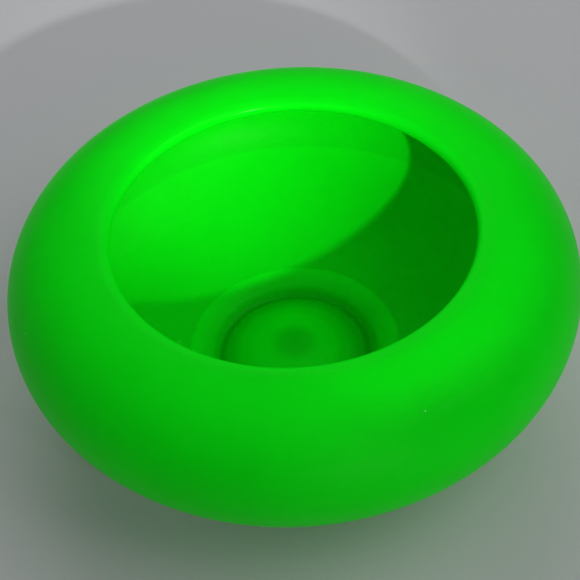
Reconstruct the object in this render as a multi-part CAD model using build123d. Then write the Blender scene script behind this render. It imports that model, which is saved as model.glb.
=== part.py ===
from build123d import *
from math import acos, cos, degrees, radians, sin, tan
import os

# Squat satin-glass bowl with a rolled-in rim, standing on a low foot ring. Every part of it is turned about the
# Z axis. Origin: centre of the face it stands on. Millimetres, +Z up. Profiles are drawn as (radius, height).

# ---- driving dimensions ----------------------------------------------------------------------------------------
MAX_DIAMETER = 192.0       # across the widest circle
OVERALL_HEIGHT = 74.0      # resting face to the crest of the shoulder
MOUTH_DIAMETER = 120.0     # clear opening, lip to lip
WALL = 4.6                 # thickness of the glass in the shoulder, the lip and the top of the wall
SHOULDER_RADIUS = 25.5     # outer radius of the rolled shoulder, in section
BODY_DEPTH = 46.7          # from the widest circle down to where the wall's outer curve would close
CAVITY_DEPTH = 40.6        # the same for its inner curve: the glass is thicker towards the foot
LIP_LENGTH = 6.0           # fire-polished stretch of the wall before its round edge

CREASE_RADIUS = 38.0       # inside, where the wall meets the band over the foot
CREASE_SLOPE = 0.05        # the band there. Slopes are the rise of the glass per unit of radius
BAND_RADIUS = 31.0         # inside, where the band turns down into the groove
BAND_HEIGHT = 9.3
BAND_SLOPE = 0.5
GROOVE_RADIUS = 27.4       # inside, the lowest circle of the groove
GROOVE_HEIGHT = 6.2        # glass under the groove, above the resting face
DOME_FOOT_RADIUS = 25.4    # inside, where the groove turns up into the dome's flank
DOME_FOOT_HEIGHT = 7.1
DOME_FOOT_SLOPE = -0.33
DOME_RADIUS = 9.0          # inside, where the flank turns into the dome's rounded top
DOME_HEIGHT = 13.6         # centre of the dome above the resting face
DOME_SLOPE = -0.31         # of the flank where the rounding begins

FOOT_TOP_RADIUS = 37.4     # outside, where the foot ring leaves the wall
FOOT_TOP_LEAD = 1.2        # how far the hollow under the wall follows the wall's own slope
FOOT_EDGE_RADIUS = 1.4     # rounding of the foot ring's outer edge
FOOT_SIDE_HEIGHT = 3.4     # how far up the foot ring's side stays upright
REST_OUTER_RADIUS = 34.2   # the ground resting face lies between these two radii
REST_INNER_RADIUS = 29.8
UNDER_GROOVE_HEIGHT = 1.6  # underneath, the glass below the groove
RECESS_HEIGHT = 7.0        # recess under the floor, at the centre

# ---- worked out from them --------------------------------------------------------------------------------------
MAX_RADIUS = MAX_DIAMETER / 2
EQUATOR_HEIGHT = OVERALL_HEIGHT - SHOULDER_RADIUS  # height of the widest circle
SHOULDER_CENTRE = MAX_RADIUS - SHOULDER_RADIUS     # radius at which the shoulder's section is centred
SHOULDER_INNER_RADIUS = SHOULDER_RADIUS - WALL
SHOULDER_MID_RADIUS = SHOULDER_RADIUS - WALL / 2
LIP_CENTRE = MOUTH_DIAMETER / 2 + WALL / 2         # the wall's edge is a full round about this radius
LIP_END_ANGLE = degrees(acos((LIP_CENTRE - SHOULDER_CENTRE) / SHOULDER_MID_RADIUS))
LIP_START_ANGLE = LIP_END_ANGLE - degrees(LIP_LENGTH / SHOULDER_MID_RADIUS)


def wall_radii(inside):
    """Half-width and depth of the wall's outer or inner curve, a quarter of an ellipse."""
    if inside:
        return MAX_RADIUS - WALL, CAVITY_DEPTH
    return MAX_RADIUS, BODY_DEPTH


def wall_angle(radius, inside=False):
    """Angle parameter of that curve at a radius. Negative: below the widest circle."""
    return -degrees(acos(radius / wall_radii(inside)[0]))


def wall_height(radius, inside=False):
    return EQUATOR_HEIGHT + wall_radii(inside)[1] * sin(radians(wall_angle(radius, inside)))


def wall_slope(radius):
    """Rise of the outer curve per unit of radius."""
    return BODY_DEPTH / MAX_RADIUS / -tan(radians(wall_angle(radius)))


def wall_arc(radius, inside=False):
    """The wall's curve from a radius near the foot up to the widest circle."""
    start = wall_angle(radius, inside)
    return EllipticalCenterArc((0, EQUATOR_HEIGHT), *wall_radii(inside), start, arc_size=-start)


def shoulder_point(radius, angle):
    """Point of the shoulder's section, at an angle counted from the widest circle."""
    turn = radians(angle)
    return (SHOULDER_CENTRE + radius * cos(turn), EQUATOR_HEIGHT + radius * sin(turn))


def shoulder_arc(radius, start, end):
    """Arc of the shoulder's section between two angles."""
    return CenterArc((SHOULDER_CENTRE, EQUATOR_HEIGHT), radius, start, end - start)


def sloped_curve(start, start_slope, end, end_slope):
    """Cubic between two points, with the rise per unit of radius given at each end."""
    third = (end[0] - start[0]) / 3
    return Bezier(
        start,
        (start[0] + third, start[1] + start_slope * third),
        (end[0] - third, end[1] - end_slope * third),
        end,
    )


def turned(*edges):
    """Solid of revolution about Z of a closed profile."""
    return revolve(Plane.XZ * make_face(edges), Axis.Z)


CREASE = (CREASE_RADIUS, wall_height(CREASE_RADIUS, inside=True))
FOOT_TOP = (FOOT_TOP_RADIUS, wall_height(FOOT_TOP_RADIUS))
GROOVE = (GROOVE_RADIUS, GROOVE_HEIGHT)
UNDER_GROOVE = (GROOVE_RADIUS, UNDER_GROOVE_HEIGHT)
RECESS_SLOPE = 3 * (UNDER_GROOVE_HEIGHT - RECESS_HEIGHT) / GROOVE_RADIUS  # at its outer edge


def bowl_wall():
    """Flaring wall, from the foot up to the widest circle."""
    return turned(
        wall_arc(FOOT_TOP_RADIUS),
        Line((MAX_RADIUS, EQUATOR_HEIGHT), (MAX_RADIUS - WALL, EQUATOR_HEIGHT)),
        wall_arc(CREASE_RADIUS, inside=True),
        Line(CREASE, FOOT_TOP),
    )


def rolled_shoulder():
    """Upper wall, turned over and inwards from the widest circle."""
    return turned(
        Line((MAX_RADIUS - WALL, EQUATOR_HEIGHT), (MAX_RADIUS, EQUATOR_HEIGHT)),
        shoulder_arc(SHOULDER_RADIUS, 0, LIP_START_ANGLE),
        Line(
            shoulder_point(SHOULDER_RADIUS, LIP_START_ANGLE),
            shoulder_point(SHOULDER_INNER_RADIUS, LIP_START_ANGLE),
        ),
        shoulder_arc(SHOULDER_INNER_RADIUS, LIP_START_ANGLE, 0),
    )


def rim_lip():
    """Edge of the wall round the mouth, melted to a full round."""
    outer_end = shoulder_point(SHOULDER_RADIUS, LIP_END_ANGLE)
    inner_end = shoulder_point(SHOULDER_INNER_RADIUS, LIP_END_ANGLE)
    centre = shoulder_point(SHOULDER_MID_RADIUS, LIP_END_ANGLE)
    return turned(
        shoulder_arc(SHOULDER_RADIUS, LIP_START_ANGLE, LIP_END_ANGLE),
        CenterArc(centre, WALL / 2, LIP_END_ANGLE, 180),
        shoulder_arc(SHOULDER_INNER_RADIUS, LIP_END_ANGLE, LIP_START_ANGLE),
        Line(
            shoulder_point(SHOULDER_INNER_RADIUS, LIP_START_ANGLE),
            shoulder_point(SHOULDER_RADIUS, LIP_START_ANGLE),
        ),
    )


def foot_ring():
    """Ring that the bowl stands on: a gently sloping band and the groove above, a ground resting face below."""
    band = (BAND_RADIUS, BAND_HEIGHT)
    rest_outer = (REST_OUTER_RADIUS, 0)
    rest_inner = (REST_INNER_RADIUS, 0)
    side_radius = REST_OUTER_RADIUS + FOOT_EDGE_RADIUS
    lead_height = FOOT_TOP[1] - FOOT_TOP_LEAD * wall_slope(FOOT_TOP_RADIUS)
    return turned(
        Line(FOOT_TOP, CREASE),
        sloped_curve(band, BAND_SLOPE, CREASE, CREASE_SLOPE),
        sloped_curve(GROOVE, 0, band, BAND_SLOPE),
        Line(GROOVE, UNDER_GROOVE),
        sloped_curve(UNDER_GROOVE, RECESS_SLOPE, rest_inner, 0),
        Line(rest_inner, rest_outer),
        CenterArc((REST_OUTER_RADIUS, FOOT_EDGE_RADIUS), FOOT_EDGE_RADIUS, -90, 90),
        Bezier(
            (side_radius, FOOT_EDGE_RADIUS),
            (side_radius, FOOT_SIDE_HEIGHT),
            (FOOT_TOP_RADIUS - FOOT_TOP_LEAD, lead_height),
            FOOT_TOP,
        ),
    )


def base_disc():
    """Floor inside the foot ring: a low dome with a rounded top, recessed underneath."""
    dome_centre = (0, DOME_HEIGHT)
    dome_edge = (DOME_RADIUS, DOME_HEIGHT + DOME_SLOPE * DOME_RADIUS / 2)
    dome_foot = (DOME_FOOT_RADIUS, DOME_FOOT_HEIGHT)
    recess_centre = (0, RECESS_HEIGHT)
    return turned(
        sloped_curve(dome_centre, 0, dome_edge, DOME_SLOPE),
        sloped_curve(dome_edge, DOME_SLOPE, dome_foot, DOME_FOOT_SLOPE),
        sloped_curve(dome_foot, DOME_FOOT_SLOPE, GROOVE, 0),
        Line(GROOVE, UNDER_GROOVE),
        sloped_curve(recess_centre, 0, UNDER_GROOVE, RECESS_SLOPE),
        Line(recess_centre, dome_centre),
    )


NODES = [bowl_wall, rolled_shoulder, rim_lip, foot_ring, base_disc]

os.makedirs("parts", exist_ok=True)
for node in NODES:
    export_step(node(), f"parts/{node.__name__}.step")
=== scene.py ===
from math import acos, cos, hypot, pi, radians, sin, tan

import bpy
import numpy as np
from mathutils import Matrix, Vector


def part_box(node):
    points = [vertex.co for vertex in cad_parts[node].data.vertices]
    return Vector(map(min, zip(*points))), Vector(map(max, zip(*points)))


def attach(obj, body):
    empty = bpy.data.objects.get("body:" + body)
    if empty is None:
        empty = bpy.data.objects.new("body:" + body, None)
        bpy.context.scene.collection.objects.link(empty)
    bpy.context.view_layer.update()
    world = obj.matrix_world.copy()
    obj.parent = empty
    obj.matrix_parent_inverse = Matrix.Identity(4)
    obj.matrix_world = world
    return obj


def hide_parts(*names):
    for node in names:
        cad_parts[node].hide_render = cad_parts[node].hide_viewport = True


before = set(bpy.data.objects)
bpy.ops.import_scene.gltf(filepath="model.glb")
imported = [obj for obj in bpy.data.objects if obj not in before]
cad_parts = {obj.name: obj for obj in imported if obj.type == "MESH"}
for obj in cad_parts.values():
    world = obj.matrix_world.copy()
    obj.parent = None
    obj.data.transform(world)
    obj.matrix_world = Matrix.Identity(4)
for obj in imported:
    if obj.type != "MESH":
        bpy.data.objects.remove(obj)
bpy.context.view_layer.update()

MM = 0.001

# ---- the bowl's own sizes, in metres ----------------------------------------------------------------------
MAX_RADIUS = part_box("bowl_wall")[1].x            # widest circle
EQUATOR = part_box("bowl_wall")[1].z               # and its height
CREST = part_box("rolled_shoulder")[1].z           # top of the shoulder
SHOULDER_RADIUS = CREST - EQUATOR                # outer radius of the shoulder's section
SHOULDER_CENTRE = MAX_RADIUS - SHOULDER_RADIUS
CREASE_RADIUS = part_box("foot_ring")[1].x         # inside, where the wall flattens out over the foot
GROOVE_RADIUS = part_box("base_disc")[1].x         # inside, the lowest circle of the groove
DOME_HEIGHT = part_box("base_disc")[1].z           # centre of the low dome on the floor
MOUTH_RADIUS = 60 * MM
WALL = 4.6 * MM
BODY_DEPTH = 46.7 * MM
CAVITY_DEPTH = 40.6 * MM
LIP_LENGTH = 6 * MM
CREASE_SLOPE = 0.05
BAND_RADIUS = 31 * MM
BAND_HEIGHT = 9.3 * MM
BAND_SLOPE = 0.5
GROOVE_HEIGHT = 6.2 * MM
DOME_FOOT_RADIUS = 25.4 * MM
DOME_FOOT_HEIGHT = 7.1 * MM
DOME_FOOT_SLOPE = -0.33
DOME_RADIUS = 9 * MM
DOME_SLOPE = -0.31
FOOT_TOP_RADIUS = 37.4 * MM
FOOT_TOP_LEAD = 1.2 * MM
FOOT_EDGE_RADIUS = 1.4 * MM
FOOT_SIDE_HEIGHT = 3.4 * MM
REST_OUTER_RADIUS = 34.2 * MM
REST_INNER_RADIUS = 29.8 * MM
UNDER_GROOVE_HEIGHT = 1.6 * MM
RECESS_HEIGHT = 7 * MM

# The bowl was finished by hand: its mouth and its foot are a little off the axis of the widest circle.
MOUTH_OFFSET = 0.96 * MM
FOOT_OFFSET = -1.1 * MM

SHOULDER_INNER = SHOULDER_RADIUS - WALL
SHOULDER_MID = SHOULDER_RADIUS - WALL / 2
LIP_END = acos((MOUTH_RADIUS + WALL / 2 - SHOULDER_CENTRE) / SHOULDER_MID)
LIP_START = LIP_END - LIP_LENGTH / SHOULDER_MID

# ---- the camera -------------------------------------------------------------------------------------------
LENS = 80.7              # mm
SENSOR_WIDTH = 36        # mm
PITCH = radians(47.22)   # below the horizontal
ROLL = radians(-4.41)
AIM = Vector((-1.4, 0, 39.9)) * MM   # the point that the picture is centred on
AIM_DISTANCE = 446.5 * MM

# ---- how fine the meshes are ------------------------------------------------------------------------------
TURNS = 288              # corners round the bowl
STEP = 0.9 * MM          # longest step along a section
CUBIC_FINENESS = 4       # a cubic has this many times the points of a line
ARC_POINTS = 9           # least number of points on an arc
LIP_POINTS = 33          # points on the lip's round edge


# ---- curves of the section, as lists of (radius, height) --------------------------------------------------
def steps(length):
    """How many points to put on a curve of this length."""
    return max(3, round(length / STEP) + 1)


def wall_radii(inside):
    """Half-width and depth of the wall's outer or inner curve, a quarter of an ellipse."""
    return (MAX_RADIUS - WALL, CAVITY_DEPTH) if inside else (MAX_RADIUS, BODY_DEPTH)


def wall_point(angle, inside=False):
    """Point of one of these curves, at an angle parameter that is 0 at the widest circle."""
    across, down = wall_radii(inside)
    return (across * cos(angle), EQUATOR - down * sin(angle))


def wall_slope(radius):
    """Rise of the outer curve per unit of radius."""
    return BODY_DEPTH / MAX_RADIUS / tan(acos(radius / MAX_RADIUS))


def wall_arc(radius, inside=False):
    """The wall's curve from a radius near the foot up to the widest circle."""
    start = acos(radius / wall_radii(inside)[0])
    return [wall_point(t, inside) for t in np.linspace(start, 0, steps(start * MAX_RADIUS))]


def circle_arc(centre, radius, start, end):
    """Arc of a circle between two angles."""
    return [
        (centre[0] + radius * cos(t), centre[1] + radius * sin(t))
        for t in np.linspace(start, end, max(ARC_POINTS, steps(abs(end - start) * radius)))
    ]


def shoulder_arc(radius, start, end):
    """Arc of the shoulder's section between two angles, counted from the widest circle."""
    return circle_arc((SHOULDER_CENTRE, EQUATOR), radius, start, end)


def line(start, end):
    """Straight line between two points."""
    count = steps(hypot(end[0] - start[0], end[1] - start[1]))
    return [tuple(p) for p in np.linspace(start, end, count)]


def bezier(*controls):
    """Cubic curve through the first and last of four control points, drawn finest near both ends."""
    a, b, c, d = (np.array(p) for p in controls)
    turn = np.linspace(0, pi, CUBIC_FINENESS * steps(np.linalg.norm(d - a)))[:, None]
    t = (1 - np.cos(turn)) / 2
    curve = (1 - t) ** 3 * a + 3 * t * (1 - t) ** 2 * b + 3 * t * t * (1 - t) * c + t**3 * d
    return [tuple(p) for p in curve]


def joined(*curves):
    """One curve from several that run on from each other."""
    points = [curves[0][0]]
    for curve in curves:
        points += curve[1:]
    return points


def sloped_curve(start, start_slope, end, end_slope):
    """Cubic between two points, with the rise per unit of radius given at each end."""
    third = (end[0] - start[0]) / 3
    return bezier(
        start,
        (start[0] + third, start[1] + start_slope * third),
        (end[0] - third, end[1] - end_slope * third),
        end,
    )


CREASE = wall_arc(CREASE_RADIUS, inside=True)[0]
FOOT_TOP = wall_arc(FOOT_TOP_RADIUS)[0]
GROOVE = (GROOVE_RADIUS, GROOVE_HEIGHT)
UNDER_GROOVE = (GROOVE_RADIUS, UNDER_GROOVE_HEIGHT)
RECESS_SLOPE = 3 * (UNDER_GROOVE_HEIGHT - RECESS_HEIGHT) / GROOVE_RADIUS  # at its outer edge


# ---- one section for each piece of the glass, as curves joined end to end ---------------------------------
def wall_section():
    return [
        wall_arc(FOOT_TOP_RADIUS),
        line((MAX_RADIUS, EQUATOR), (MAX_RADIUS - WALL, EQUATOR)),
        wall_arc(CREASE_RADIUS, inside=True)[::-1],
        line(CREASE, FOOT_TOP),
    ]


def shoulder_section():
    outer = shoulder_arc(SHOULDER_RADIUS, 0, LIP_START)
    inner = shoulder_arc(SHOULDER_INNER, LIP_START, 0)
    return [outer, line(outer[-1], inner[0]), inner, line(inner[-1], outer[0])]


def lip_section():
    outer = shoulder_arc(SHOULDER_RADIUS, LIP_START, LIP_END)
    inner = shoulder_arc(SHOULDER_INNER, LIP_END, LIP_START)
    centre = shoulder_arc(SHOULDER_MID, LIP_END, LIP_END)[0]
    edge = [
        (centre[0] + WALL / 2 * cos(LIP_END + t), centre[1] + WALL / 2 * sin(LIP_END + t))
        for t in np.linspace(0, pi, LIP_POINTS)
    ]
    return [joined(outer, edge, inner), line(inner[-1], outer[0])]


def foot_section():
    band = (BAND_RADIUS, BAND_HEIGHT)
    rest_outer = (REST_OUTER_RADIUS, 0)
    rest_inner = (REST_INNER_RADIUS, 0)
    side = REST_OUTER_RADIUS + FOOT_EDGE_RADIUS
    lead = (FOOT_TOP_RADIUS - FOOT_TOP_LEAD, FOOT_TOP[1] - FOOT_TOP_LEAD * wall_slope(FOOT_TOP_RADIUS))
    inside = joined(
        sloped_curve(GROOVE, 0, band, BAND_SLOPE),
        sloped_curve(band, BAND_SLOPE, CREASE, CREASE_SLOPE),
    )
    underneath = joined(
        sloped_curve(UNDER_GROOVE, RECESS_SLOPE, rest_inner, 0),
        line(rest_inner, rest_outer),
        circle_arc((REST_OUTER_RADIUS, FOOT_EDGE_RADIUS), FOOT_EDGE_RADIUS, -pi / 2, 0),
        bezier((side, FOOT_EDGE_RADIUS), (side, FOOT_SIDE_HEIGHT), lead, FOOT_TOP),
    )
    return [line(FOOT_TOP, CREASE), inside[::-1], line(GROOVE, UNDER_GROOVE), underneath]


def base_section():
    dome_edge = (DOME_RADIUS, DOME_HEIGHT + DOME_SLOPE * DOME_RADIUS / 2)
    dome_foot = (DOME_FOOT_RADIUS, DOME_FOOT_HEIGHT)
    dome = joined(
        sloped_curve((0, DOME_HEIGHT), 0, dome_edge, DOME_SLOPE),
        sloped_curve(dome_edge, DOME_SLOPE, dome_foot, DOME_FOOT_SLOPE),
        sloped_curve(dome_foot, DOME_FOOT_SLOPE, GROOVE, 0),
    )
    recess = sloped_curve((0, RECESS_HEIGHT), 0, UNDER_GROOVE, RECESS_SLOPE)
    return [recess, line(UNDER_GROOVE, GROOVE), dome[::-1]]


# ---- meshes -----------------------------------------------------------------------------------------------
def lean(radius, height):
    """How far a circle of the bowl stands off the axis, along X."""
    if height > EQUATOR:
        return MOUTH_OFFSET * min(1, (MAX_RADIUS - radius) / (MAX_RADIUS - MOUTH_RADIUS)) ** 2
    return FOOT_OFFSET * min(1, (MAX_RADIUS - radius) / (MAX_RADIUS - CREASE_RADIUS)) ** 2


def turned_mesh(name, curves):
    """Closed mesh turned about Z from a section of joined curves, with sharp edges where they meet."""
    section = []
    corners = set()  # places in the section where two curves meet
    for curve in curves:
        corners.add(len(section))
        section += curve[:-1]
    on_axis = curves[0][0][0] == 0  # the section begins and ends there, and no face has to close it
    if on_axis:
        section.append(curves[-1][-1])
    turns = np.arange(TURNS) * 2 * pi / TURNS
    verts = []
    places = []
    rows = []
    for radius, height in section:
        count = 1 if radius == 0 else TURNS
        rows.append(range(len(verts), len(verts) + count))
        shift = lean(radius, height)
        verts += [(radius * cos(t) + shift, radius * sin(t), height) for t in turns[:count]]
        places += [(radius, height, 0)] * count
    faces = []
    for k in range(len(rows) - on_axis):
        low, high = rows[k], rows[(k + 1) % len(rows)]
        for i in range(TURNS):
            j = (i + 1) % TURNS
            face = (low[i % len(low)], low[j % len(low)], high[j % len(high)], high[i % len(high)])
            faces.append(tuple(dict.fromkeys(face)))
    mesh = bpy.data.meshes.new(name)
    mesh.from_pydata(verts, [], faces)
    mesh.polygons.foreach_set("use_smooth", [True] * len(mesh.polygons))
    place = mesh.attributes.new("section", "FLOAT_VECTOR", "POINT")
    place.data.foreach_set("vector", np.array(places).ravel())
    sharp = {v for corner in corners if len(rows[corner]) > 1 for v in rows[corner]}
    sharp_edge = mesh.attributes.new("sharp_edge", "BOOLEAN", "EDGE")
    sharp_edge.data.foreach_set("value", [sharp.issuperset(e.vertices) for e in mesh.edges])
    mesh.update()
    return mesh


def add(name, data):
    obj = bpy.data.objects.new(name, data)
    bpy.context.scene.collection.objects.link(obj)
    return obj


def glass_piece(name, node, section, material):
    """Piece of the glass that stands for one CAD node."""
    obj = add(name, turned_mesh(name, section))
    obj.data.materials.append(material)
    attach(obj, "root")
    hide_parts(node)


# ---- materials --------------------------------------------------------------------------------------------
class Nodes:
    """Small helper that adds nodes to a material and links them."""

    def __init__(self, name):
        self.material = bpy.data.materials.new(name)
        self.material.use_nodes = True
        self.tree = self.material.node_tree
        self.shader = self.tree.nodes["Principled BSDF"]

    def feed(self, socket, value):
        if isinstance(value, bpy.types.NodeSocket):
            self.tree.links.new(value, socket)
        else:
            socket.default_value = value

    def add(self, kind, inputs=(), **settings):
        node = self.tree.nodes.new(kind)
        for key, value in settings.items():
            setattr(node, key, value)
        for key, value in dict(inputs).items():
            self.feed(node.inputs[key], value)
        return node

    def math(self, operation, a, b=0.0):
        return self.add("ShaderNodeMath", {0: a, 1: b}, operation=operation).outputs[0]

    def spread(self, value, low, high, to_low=0.0, to_high=1.0):
        """Value between two limits, taken smoothly to two others and held there outside them."""
        inputs = {"Value": value, "From Min": low, "From Max": high, "To Min": to_low, "To Max": to_high}
        return self.add("ShaderNodeMapRange", inputs, interpolation_type="SMOOTHSTEP").outputs[0]

    def noise(self, place, size, detail=2.0):
        """Noise between about 0.3 and 0.7, with spots of a size in metres."""
        inputs = {"Vector": place, "Scale": 1 / size, "Detail": detail}
        return self.add("ShaderNodeTexNoise", inputs).outputs["Fac"]

    def mix(self, factor, a, b):
        node = self.add("ShaderNodeMix", {"Factor": factor}, data_type="RGBA")
        self.feed(node.inputs[6], a)
        self.feed(node.inputs[7], b)
        return node.outputs[2]

    def bump(self, height, distance, normal=None):
        inputs = {"Height": height, "Distance": distance, "Strength": 1.0}
        if normal:
            inputs["Normal"] = normal
        return self.add("ShaderNodeBump", inputs).outputs[0]


# The glass by radius: the radius in mm, how light its green is, and its painted glow, both from 0 to 1.
# The changes are painted light and shade: painted shade dims the groove and the dome's centre, and
# painted light and glow brighten the ring on the dome and the band over the foot ring.
PAINTED_TONES_BY_RADIUS = [
    (0, 0.70, 0.0),
    (4, 0.76, 0.04),
    (10, 0.98, 0.40),
    (14, 0.98, 0.36),
    (18, 0.90, 0.10),
    (24.2, 0.58, 0.0),
    (25.8, 0.40, 0.0),
    (27.0, 0.36, 0.0),
    (28.4, 0.64, 0.0),
    (30.6, 0.88, 0.12),
    (36.6, 1.0, 0.32),
    (38.2, 0.86, 0.02),
    (96, 0.86, 0.02),
]
TONE_REACH = 100  # mm, where the ramp ends

DARK_GREEN = (0.0003, 0.30, 0.001, 1)
LIGHT_GREEN = (0.0015, 0.88, 0.005, 1)
SEED_GREEN = (0.25, 0.95, 0.3, 1)
GROUND_GREEN = (0.45, 0.85, 0.48, 1)
# colour of the painted glow, emission that stands in for light carried through the glass
PAINTED_GLOW_GREEN = (0, 1, 0.008, 1)
BLACK = (0, 0, 0, 1)
# strength of the painted glow
PAINTED_GLOW_STRENGTH = 0.12
PAINTED_EDGE_GLOW = 0.3                # painted glow on the lip's round edge, a painted highlight there
GROUND_TINT = 0.35             # how much of GROUND_GREEN the resting face has
ETCHED_ROUGHNESS = (0.38, 0.46)
POLISH = 0.2                   # how much less rough the lip is
GRINDING = 0.3                 # how much rougher the resting face is
SHEEN = 0.08                   # specular level of etched glass

# Sizes of what makes the glass uneven, and how far each takes the green or the surface
NOISE_RANGE = (0.3, 0.7)       # nearly all values of a noise lie between these
CLOUD_SIZE = 45 * MM
CLOUD_TONES = (0.94, 1.04)
CORD_SIZE = 7 * MM
CORD_TONES = (0.985, 1.015)
GRAIN_SIZE = 0.45 * MM
GRAIN_TONES = (0.98, 1.02)
GRAIN_DEPTH = 0.012 * MM
WAVE_SIZE = 30 * MM
WAVE_DEPTH = 0.25 * MM
SEED_SPACING = 12 * MM
SEED_RADII = (0.014, 0.03)     # of a seed's core and of its edge, as shares of that spacing
SEEDLESS = 0.4                 # share of places that have no seed
SEED_DEPTH = 0.08 * MM
MARK_WIDTH = 0.12 * MM         # of the marks that grinding left on the resting face
MARK_DEPTH = 0.04 * MM

# Where on the bowl some of it begins and ends
GROUND_HEIGHTS = (0.05 * MM, 0.3 * MM)  # the ground face ends between these
POLISH_REACH = 3 * MM          # how far the fire polish reaches from the lip's round edge
PAINTED_EDGE_REACH = 1.2 * MM          # how far that painted edge glow reaches
STEP_HEIGHT = 32 * MM          # height of a faint step round the inside of the wall; above it the green is painted darker, as painted shade
STEP_BLUR = 1 * MM
PAINTED_SHADE_TONE = 0.86               # painted shade: the green above that step, against the green below it
STEP_FADE = 8 * MM             # the difference ends at the widest circle, and starts to fade this far below
INNER_LIMIT = 1.03             # the inner curve of the wall is at 1, and the outer one is farther out


def painted_tones(n, radius):
    """The painted tone and the painted glow at a radius, from the table above."""
    ramp = n.add("ShaderNodeValToRGB", {"Fac": n.math("DIVIDE", radius, TONE_REACH * MM)})
    ramp.color_ramp.interpolation = "EASE"
    for at, _, _ in PAINTED_TONES_BY_RADIUS[2:]:
        ramp.color_ramp.elements.new(at / TONE_REACH)
    for element, (at, tone_and_painted_light, painted_glow) in zip(ramp.color_ramp.elements, PAINTED_TONES_BY_RADIUS):
        element.position = at / TONE_REACH
        element.color = (tone_and_painted_light, painted_glow, 0, 1)
    split = n.add("ShaderNodeSeparateColor", {0: ramp.outputs[0]})
    return split.outputs[0], split.outputs[1]


def painted_shade_above_step(n, radius, height):
    """Mask for painted shade: 1 on the inside wall above the step height, fading towards the shoulder, and 0
    elsewhere.
    """
    across = n.math("DIVIDE", radius, MAX_RADIUS - WALL)
    down = n.math("DIVIDE", n.math("SUBTRACT", EQUATOR, height), CAVITY_DEPTH)
    ellipse = n.math("ADD", n.math("MULTIPLY", across, across), n.math("MULTIPLY", down, down))
    inside = n.math("LESS_THAN", ellipse, INNER_LIMIT)
    ring = n.math("MULTIPLY", inside, n.spread(height, STEP_HEIGHT - STEP_BLUR, STEP_HEIGHT + STEP_BLUR))
    return n.math("MULTIPLY", ring, n.spread(height, EQUATOR - STEP_FADE, EQUATOR, 1, 0))


def unevenness_and_painted_shade(n, place, grain, painted_shade_mask):
    """Factor close to 1 for the green: clouds and cords of the melt, grain, and painted shade on the wall
    above the step.
    """
    clouds = n.spread(n.noise(place, CLOUD_SIZE, 3.0), *NOISE_RANGE, *CLOUD_TONES)
    cords = n.spread(n.noise(place, CORD_SIZE), *NOISE_RANGE, *CORD_TONES)
    fine = n.spread(grain, *NOISE_RANGE, *GRAIN_TONES)
    factor = n.math("MULTIPLY", n.math("MULTIPLY", clouds, cords), fine)
    return n.math("MULTIPLY", factor, n.spread(painted_shade_mask, 0, 1, 1, PAINTED_SHADE_TONE))


def seeds(n, place):
    """1 in sparse tiny bubbles and specks, and 0 between them."""
    cells = n.add("ShaderNodeTexVoronoi", {"Vector": place, "Scale": 1 / SEED_SPACING})
    draw = n.add("ShaderNodeSeparateColor", {0: cells.outputs["Color"]}).outputs[0]
    chosen = n.math("GREATER_THAN", draw, SEEDLESS)
    return n.math("MULTIPLY", n.spread(cells.outputs["Distance"], *SEED_RADII, 1.0, 0.0), chosen)


def grinding_marks(n, radius):
    """Fine noise that changes with the radius alone, so that its marks run round the bowl."""
    inputs = {"W": n.math("DIVIDE", radius, MARK_WIDTH), "Detail": 1.0}
    return n.add("ShaderNodeTexNoise", inputs, noise_dimensions="1D").outputs["Fac"]


def near_lip(n, section, reach):
    """1 on the lip's round edge, falling to 0 at a distance from it."""
    centre = shoulder_arc(SHOULDER_MID, LIP_END, LIP_END)[0]
    distance = n.add("ShaderNodeVectorMath", {0: section, 1: (*centre, 0)}, operation="DISTANCE")
    return n.spread(distance.outputs["Value"], WALL / 2, WALL / 2 + reach, 1.0, 0.0)


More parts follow.
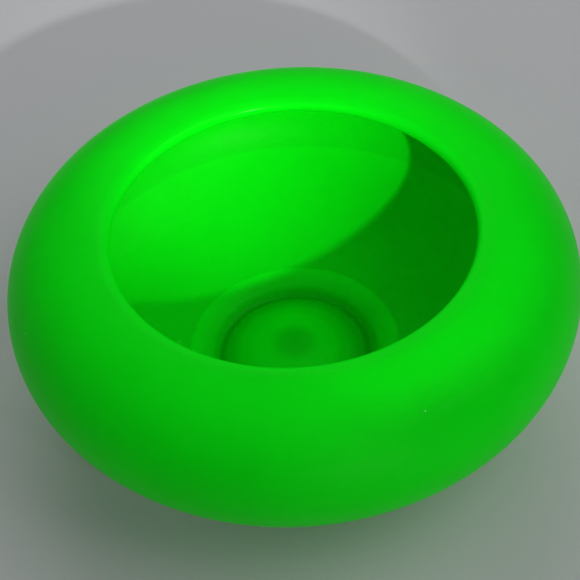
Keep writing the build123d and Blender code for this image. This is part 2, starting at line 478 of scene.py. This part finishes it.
def glass_material():
    """Satin uranium glass: etched all over, ground on the resting face and fire-polished on the lip."""
    n = Nodes("uranium_glass_satin")
    place = n.add("ShaderNodeTexCoord").outputs["Object"]
    section = n.add("ShaderNodeAttribute", attribute_name="section").outputs["Vector"]
    split = n.add("ShaderNodeSeparateXYZ", {0: section})
    radius, height = split.outputs[0], split.outputs[1]
    grain = n.noise(place, GRAIN_SIZE)
    seed = seeds(n, place)
    ground = n.spread(height, *GROUND_HEIGHTS, 1.0, 0.0)

    # painted light and shade by radius: darker groove and dome centre, lighter dome ring and foot band
    tone_and_painted_light, painted_glow = painted_tones(n, radius)
    # painted shade: the inside wall above the step height is made darker
    uneven_and_painted_shade = unevenness_and_painted_shade(n, place, grain, painted_shade_above_step(n, radius, height))
    green = n.mix(n.math("MULTIPLY", tone_and_painted_light, uneven_and_painted_shade), DARK_GREEN, LIGHT_GREEN)
    green = n.mix(seed, green, SEED_GREEN)
    green = n.mix(n.math("MULTIPLY", ground, GROUND_TINT), green, GROUND_GREEN)
    n.feed(n.shader.inputs["Base Color"], green)

    # painted glow: emission that stands in for light carried through the glass
    painted_glow = n.math("MULTIPLY", painted_glow, uneven_and_painted_shade)
    # painted highlight: extra glow along the lip's round edge
    painted_glow = n.math("ADD", painted_glow, n.math("MULTIPLY", near_lip(n, section, PAINTED_EDGE_REACH), PAINTED_EDGE_GLOW))
    n.feed(n.shader.inputs["Emission Color"], n.mix(painted_glow, BLACK, PAINTED_GLOW_GREEN))
    n.shader.inputs["Emission Strength"].default_value = PAINTED_GLOW_STRENGTH

    rough = n.spread(grain, *NOISE_RANGE, *ETCHED_ROUGHNESS)
    rough = n.math("SUBTRACT", rough, n.math("MULTIPLY", near_lip(n, section, POLISH_REACH), POLISH))
    rough = n.math("ADD", rough, n.math("MULTIPLY", ground, GRINDING))
    n.feed(n.shader.inputs["Roughness"], rough)
    n.shader.inputs["Specular IOR Level"].default_value = SHEEN

    normal = n.bump(n.noise(place, WAVE_SIZE), WAVE_DEPTH)
    normal = n.bump(grain, GRAIN_DEPTH, normal)
    normal = n.bump(seed, SEED_DEPTH, normal)
    normal = n.bump(n.math("MULTIPLY", grinding_marks(n, radius), ground), MARK_DEPTH, normal)
    n.feed(n.shader.inputs["Normal"], normal)
    return n.material


# ---- the stage --------------------------------------------------------------------------------------------
FLOOR_WIDTH = 6.0
FLOOR_GREY = (0.62, 0.62, 0.63, 1)
KEY_AZIMUTH = 20.9       # degrees, counted as in light() below
KEY_ELEVATION = 30.7
KEY_DISTANCE = 0.40      # metres, near enough that the rim's shadow curves inside the bowl
KEY_RADIUS = 5 * MM      # of the lamp itself, which sets how soft that shadow's edge is
BOX_DISTANCE = 1.2
AIR_COLOUR = (0.9, 0.95, 1.0, 1)
AIR_STRENGTH = 0.11


def floor():
    """Plain pale floor."""
    mesh = bpy.data.meshes.new("floor")
    half = FLOOR_WIDTH / 2
    corners = [(-half, -half, 0), (half, -half, 0), (half, half, 0), (-half, half, 0)]
    mesh.from_pydata(corners, [], [(0, 1, 2, 3)])
    obj = add("floor", mesh)
    material = bpy.data.materials.new("floor")
    material.use_nodes = True
    shader = material.node_tree.nodes["Principled BSDF"]
    shader.inputs["Base Color"].default_value = FLOOR_GREY
    shader.inputs["Roughness"].default_value = 0.7
    mesh.materials.append(material)


def camera():
    """The camera that the photo was taken with, as solved from the outlines of the bowl and of its mouth."""
    data = bpy.data.cameras.new("camera")
    data.lens = LENS
    data.sensor_width = SENSOR_WIDTH
    data.clip_start = 0.01
    forward = Vector((0, cos(PITCH), -sin(PITCH)))
    level = Vector((1, 0, 0))
    upright = level.cross(forward)
    right = cos(ROLL) * level + sin(ROLL) * upright
    up = cos(ROLL) * upright - sin(ROLL) * level
    obj = add("camera", data)
    turn = Matrix((right, up, -forward)).transposed().to_4x4()
    obj.matrix_world = Matrix.Translation(AIM - AIM_DISTANCE * forward) @ turn
    bpy.context.scene.camera = obj


def light(name, kind, azimuth, elevation, distance, power, target=(0, 0, 48 * MM)):
    """Light aimed at a point, its power in watts. Azimuth 0 is in front of the bowl, 90 on its right."""
    data = bpy.data.lights.new(name, kind)
    data.energy = power
    obj = add(name, data)
    obj.visible_glossy = name == "key_left"  # only this one draws a sheen
    a, e = radians(azimuth), radians(elevation)
    place = Vector((0, 0, EQUATOR)) + distance * Vector((sin(a) * cos(e), -cos(a) * cos(e), sin(e)))
    turn = (place - Vector(target)).to_track_quat("Z", "Y").to_matrix().to_4x4()
    obj.matrix_world = Matrix.Translation(place) @ turn
    return data


def key_light():
    """Small lamp in front and to the right. Its three soft beams are strongest on the bowl's far left."""
    for name, half_angle, power, target in (
        ("key_beam", 13, 5.2, (-14 * MM, 113 * MM, 58 * MM)),
        ("key_left", 15, 1.85, (-76 * MM, 98 * MM, 64 * MM)),
        ("key_spread", 45, 0.25, (0, 0, 50 * MM)),
    ):
        key = light(name, "SPOT", KEY_AZIMUTH, KEY_ELEVATION, KEY_DISTANCE, power, target)
        key.spot_size = radians(2 * half_angle)
        key.spot_blend = 1.0
        key.shadow_soft_size = KEY_RADIUS


def soft_boxes():
    """Soft boxes above, behind, on both sides and low in front."""
    for name, azimuth, elevation, size, power in (
        ("top", 0, 88, 0.9, 0.5),
        ("back", 180, 30, 0.9, 4.6),
        ("left", -100, 20, 0.9, 1.8),
        ("right", 75, 52, 0.9, 3.8),
        ("front", 20, 8, 0.5, 2.5),
    ):
        box = light(name, "AREA", azimuth, elevation, BOX_DISTANCE, power)
        box.size = size


def studio_air():
    """Faint light from all round."""
    world = bpy.data.worlds.new("studio")
    world.use_nodes = True
    background = world.node_tree.nodes["Background"]
    background.inputs["Color"].default_value = AIR_COLOUR
    background.inputs["Strength"].default_value = AIR_STRENGTH
    bpy.context.scene.world = world


camera()
key_light()
soft_boxes()
studio_air()
floor()
glass = glass_material()
glass_piece("glass_wall", "bowl_wall", wall_section(), glass)
glass_piece("glass_shoulder", "rolled_shoulder", shoulder_section(), glass)
glass_piece("glass_lip", "rim_lip", lip_section(), glass)
glass_piece("glass_foot", "foot_ring", foot_section(), glass)
glass_piece("glass_base", "base_disc", base_section(), glass)
bpy.context.scene.view_settings.view_transform = "Standard"
